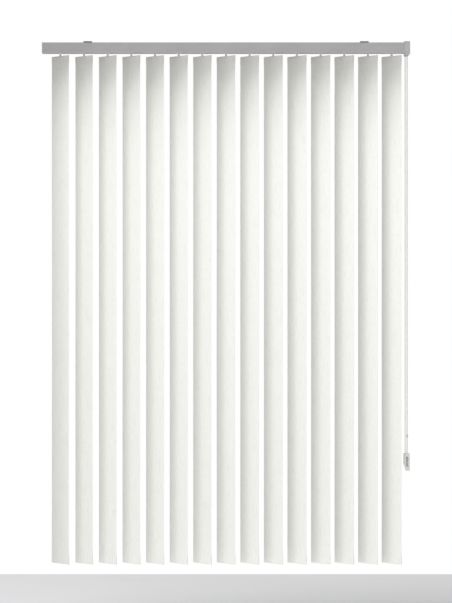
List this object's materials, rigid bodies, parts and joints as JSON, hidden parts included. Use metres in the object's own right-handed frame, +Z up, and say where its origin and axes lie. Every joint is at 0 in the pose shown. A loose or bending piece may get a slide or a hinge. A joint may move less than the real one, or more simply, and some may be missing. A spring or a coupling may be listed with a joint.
{
  "type": "vertical blind",
  "caption": "Ceiling-fixed vertical blind: chain-operated headrail with turning, stacking fabric vanes and a wall-fixed chain tidy",
  "frame": {"origin": "middle of the fixing plane: between the two bracket screw holes, on the top faces of the ceiling brackets", "axes": "+X along the headrail to the control end, -Y to the room, +Z up"},
  "size_m": [1.196, 0.0702, 1.699],
  "materials": {
    "painted_rail": "smooth satin white paint",
    "rod_aluminium": "bare extruded",
    "bracket_steel": "white paint",
    "screw_steel": "zinc plated",
    "white_plastic": "moulded, satin",
    "chain_plastic": "moulded beads on a cord",
    "cord_braid": "braided polyester",
    "vane_fabric": "woven, fine vertical slub"
  },
  "bodies": {
    "rail": {"headrail": "painted_rail", "ceiling_brackets": "bracket_steel", "end_cap": "white_plastic", "draw_cord": "cord_braid", "control_housing": "white_plastic", "control_cover": "white_plastic", "cover_screws": "screw_steel", "bead_chain": "chain_plastic", "chain_joiner": "chain_plastic", "tidy_body": "white_plastic", "truck_15": "white_plastic"},
    "tilt_rod": {"tilt_rod": "rod_aluminium"},
    "chain_wheel": {"chain_wheel": "white_plastic"},
    "tidy_wheel": {"tidy_wheel": "white_plastic"},
    "return_pulley": {"return_pulley": "white_plastic"},
    "cord_drum": {"cord_drum": "white_plastic"},
    "carrier_01": {"truck_01": "white_plastic"},
    "carrier_02": {"truck_02": "white_plastic"},
    "carrier_03": {"truck_03": "white_plastic"},
    "carrier_04": {"truck_04": "white_plastic"},
    "carrier_05": {"truck_05": "white_plastic"},
    "carrier_06": {"truck_06": "white_plastic"},
    "carrier_07": {"truck_07": "white_plastic"},
    "carrier_08": {"truck_08": "white_plastic"},
    "carrier_09": {"truck_09": "white_plastic"},
    "carrier_10": {"truck_10": "white_plastic"},
    "carrier_11": {"truck_11": "white_plastic"},
    "carrier_12": {"truck_12": "white_plastic"},
    "carrier_13": {"truck_13": "white_plastic"},
    "carrier_14": {"truck_14": "white_plastic"},
    "louvre_01": {"stem_01": "white_plastic", "vane_01": "vane_fabric"},
    "louvre_02": {"stem_02": "white_plastic", "vane_02": "vane_fabric"},
    "louvre_03": {"stem_03": "white_plastic", "vane_03": "vane_fabric"},
    "louvre_04": {"stem_04": "white_plastic", "vane_04": "vane_fabric"},
    "louvre_05": {"stem_05": "white_plastic", "vane_05": "vane_fabric"},
    "louvre_06": {"stem_06": "white_plastic", "vane_06": "vane_fabric"},
    "louvre_07": {"stem_07": "white_plastic", "vane_07": "vane_fabric"},
    "louvre_08": {"stem_08": "white_plastic", "vane_08": "vane_fabric"},
    "louvre_09": {"stem_09": "white_plastic", "vane_09": "vane_fabric"},
    "louvre_10": {"stem_10": "white_plastic", "vane_10": "vane_fabric"},
    "louvre_11": {"stem_11": "white_plastic", "vane_11": "vane_fabric"},
    "louvre_12": {"stem_12": "white_plastic", "vane_12": "vane_fabric"},
    "louvre_13": {"stem_13": "white_plastic", "vane_13": "vane_fabric"},
    "louvre_14": {"stem_14": "white_plastic", "vane_14": "vane_fabric"},
    "louvre_15": {"stem_15": "white_plastic", "vane_15": "vane_fabric"}
  },
  "joints": [
    {"name": "traverse_01", "type": "slide", "parent": "rail", "child": "carrier_01", "axis": [1, 0, 0], "range_m": [0, 0.854]},
    {"name": "traverse_02", "type": "slide", "parent": "rail", "child": "carrier_02", "axis": [1, 0, 0], "range_m": [0, 0.793]},
    {"name": "traverse_03", "type": "slide", "parent": "rail", "child": "carrier_03", "axis": [1, 0, 0], "range_m": [0, 0.732]},
    {"name": "traverse_04", "type": "slide", "parent": "rail", "child": "carrier_04", "axis": [1, 0, 0], "range_m": [0, 0.671]},
    {"name": "traverse_05", "type": "slide", "parent": "rail", "child": "carrier_05", "axis": [1, 0, 0], "range_m": [0, 0.61]},
    {"name": "traverse_06", "type": "slide", "parent": "rail", "child": "carrier_06", "axis": [1, 0, 0], "range_m": [0, 0.549]},
    {"name": "traverse_07", "type": "slide", "parent": "rail", "child": "carrier_07", "axis": [1, 0, 0], "range_m": [0, 0.488]},
    {"name": "traverse_08", "type": "slide", "parent": "rail", "child": "carrier_08", "axis": [1, 0, 0], "range_m": [0, 0.427]},
    {"name": "traverse_09", "type": "slide", "parent": "rail", "child": "carrier_09", "axis": [1, 0, 0], "range_m": [0, 0.366]},
    {"name": "traverse_10", "type": "slide", "parent": "rail", "child": "carrier_10", "axis": [1, 0, 0], "range_m": [0, 0.305]},
    {"name": "traverse_11", "type": "slide", "parent": "rail", "child": "carrier_11", "axis": [1, 0, 0], "range_m": [0, 0.244]},
    {"name": "traverse_12", "type": "slide", "parent": "rail", "child": "carrier_12", "axis": [1, 0, 0], "range_m": [0, 0.183]},
    {"name": "traverse_13", "type": "slide", "parent": "rail", "child": "carrier_13", "axis": [1, 0, 0], "range_m": [0, 0.122]},
    {"name": "traverse_14", "type": "slide", "parent": "rail", "child": "carrier_14", "axis": [1, 0, 0], "range_m": [0, 0.061]},
    {"name": "tilt_01", "type": "hinge", "parent": "carrier_01", "child": "louvre_01", "pos_m": [-0.539, 0, -0.04], "axis": [0, 0, 1], "range_deg": [-117.8, 34.2]},
    {"name": "tilt_02", "type": "hinge", "parent": "carrier_02", "child": "louvre_02", "pos_m": [-0.462, 0, -0.04], "axis": [0, 0, 1], "range_deg": [-117.8, 34.2]},
    {"name": "tilt_03", "type": "hinge", "parent": "carrier_03", "child": "louvre_03", "pos_m": [-0.385, 0, -0.04], "axis": [0, 0, 1], "range_deg": [-117.8, 34.2]},
    {"name": "tilt_04", "type": "hinge", "parent": "carrier_04", "child": "louvre_04", "pos_m": [-0.308, 0, -0.04], "axis": [0, 0, 1], "range_deg": [-117.8, 34.2]},
    {"name": "tilt_05", "type": "hinge", "parent": "carrier_05", "child": "louvre_05", "pos_m": [-0.231, 0, -0.04], "axis": [0, 0, 1], "range_deg": [-117.8, 34.2]},
    {"name": "tilt_06", "type": "hinge", "parent": "carrier_06", "child": "louvre_06", "pos_m": [-0.154, 0, -0.04], "axis": [0, 0, 1], "range_deg": [-117.8, 34.2]},
    {"name": "tilt_07", "type": "hinge", "parent": "carrier_07", "child": "louvre_07", "pos_m": [-0.077, 0, -0.04], "axis": [0, 0, 1], "range_deg": [-117.8, 34.2]},
    {"name": "tilt_08", "type": "hinge", "parent": "carrier_08", "child": "louvre_08", "pos_m": [0, 0, -0.04], "axis": [0, 0, 1], "range_deg": [-117.8, 34.2]},
    {"name": "tilt_09", "type": "hinge", "parent": "carrier_09", "child": "louvre_09", "pos_m": [0.077, 0, -0.04], "axis": [0, 0, 1], "range_deg": [-117.8, 34.2]},
    {"name": "tilt_10", "type": "hinge", "parent": "carrier_10", "child": "louvre_10", "pos_m": [0.154, 0, -0.04], "axis": [0, 0, 1], "range_deg": [-117.8, 34.2]},
    {"name": "tilt_11", "type": "hinge", "parent": "carrier_11", "child": "louvre_11", "pos_m": [0.231, 0, -0.04], "axis": [0, 0, 1], "range_deg": [-117.8, 34.2]},
    {"name": "tilt_12", "type": "hinge", "parent": "carrier_12", "child": "louvre_12", "pos_m": [0.308, 0, -0.04], "axis": [0, 0, 1], "range_deg": [-117.8, 34.2]},
    {"name": "tilt_13", "type": "hinge", "parent": "carrier_13", "child": "louvre_13", "pos_m": [0.385, 0, -0.04], "axis": [0, 0, 1], "range_deg": [-117.8, 34.2]},
    {"name": "tilt_14", "type": "hinge", "parent": "carrier_14", "child": "louvre_14", "pos_m": [0.462, 0, -0.04], "axis": [0, 0, 1], "range_deg": [-117.8, 34.2]},
    {"name": "tilt_15", "type": "hinge", "parent": "rail", "child": "louvre_15", "pos_m": [0.539, 0, -0.04], "axis": [0, 0, 1], "range_deg": [-117.8, 34.2]},
    {"name": "rod_turn", "type": "hinge", "parent": "rail", "child": "tilt_rod", "pos_m": [0, 0.008, -0.022], "axis": [1, 0, 0], "range_deg": [-1413.6, 410.4]},
    {"name": "chain_wheel_turn", "type": "hinge", "parent": "rail", "child": "chain_wheel", "pos_m": [0.587, 0.008, -0.022], "axis": [1, 0, 0], "range_deg": [-1413.6, 410.4]},
    {"name": "tidy_wheel_turn", "type": "hinge", "parent": "rail", "child": "tidy_wheel", "pos_m": [0.587, 0.008, -1.366], "axis": [0.9026, -0.4305, 0], "range_deg": [-1413.6, 410.4]},
    {"name": "return_pulley_turn", "type": "hinge", "parent": "rail", "child": "return_pulley", "pos_m": [-0.583, -0.012, -0.021], "axis": [0, 1, 0], "range_deg": [-9786.12, 0]},
    {"name": "cord_drum_turn", "type": "hinge", "parent": "rail", "child": "cord_drum", "pos_m": [0.566, -0.012, -0.021], "axis": [0, 1, 0], "range_deg": [-9786.12, 0]}
  ],
  "couplings": [
    {"joint": "traverse_02", "follows": "traverse_01", "ratio": 0.92857},
    {"joint": "traverse_03", "follows": "traverse_01", "ratio": 0.85714},
    {"joint": "traverse_04", "follows": "traverse_01", "ratio": 0.78571},
    {"joint": "traverse_05", "follows": "traverse_01", "ratio": 0.71429},
    {"joint": "traverse_06", "follows": "traverse_01", "ratio": 0.64286},
    {"joint": "traverse_07", "follows": "traverse_01", "ratio": 0.57143},
    {"joint": "traverse_08", "follows": "traverse_01", "ratio": 0.5},
    {"joint": "traverse_09", "follows": "traverse_01", "ratio": 0.42857},
    {"joint": "traverse_10", "follows": "traverse_01", "ratio": 0.35714},
    {"joint": "traverse_11", "follows": "traverse_01", "ratio": 0.28571},
    {"joint": "traverse_12", "follows": "traverse_01", "ratio": 0.21429},
    {"joint": "traverse_13", "follows": "traverse_01", "ratio": 0.14286},
    {"joint": "traverse_14", "follows": "traverse_01", "ratio": 0.071429},
    {"joint": "tilt_01", "follows": "tilt_15", "ratio": 1},
    {"joint": "tilt_02", "follows": "tilt_15", "ratio": 1},
    {"joint": "tilt_03", "follows": "tilt_15", "ratio": 1},
    {"joint": "tilt_04", "follows": "tilt_15", "ratio": 1},
    {"joint": "tilt_05", "follows": "tilt_15", "ratio": 1},
    {"joint": "tilt_06", "follows": "tilt_15", "ratio": 1},
    {"joint": "tilt_07", "follows": "tilt_15", "ratio": 1},
    {"joint": "tilt_08", "follows": "tilt_15", "ratio": 1},
    {"joint": "tilt_09", "follows": "tilt_15", "ratio": 1},
    {"joint": "tilt_10", "follows": "tilt_15", "ratio": 1},
    {"joint": "tilt_11", "follows": "tilt_15", "ratio": 1},
    {"joint": "tilt_12", "follows": "tilt_15", "ratio": 1},
    {"joint": "tilt_13", "follows": "tilt_15", "ratio": 1},
    {"joint": "tilt_14", "follows": "tilt_15", "ratio": 1},
    {"joint": "rod_turn", "follows": "tilt_15", "ratio": 12},
    {"joint": "chain_wheel_turn", "follows": "tilt_15", "ratio": 12},
    {"joint": "tidy_wheel_turn", "follows": "tilt_15", "ratio": 12},
    {"joint": "return_pulley_turn", "follows": "traverse_01", "rad_per_m": -200},
    {"joint": "cord_drum_turn", "follows": "traverse_01", "rad_per_m": -200}
  ]
}
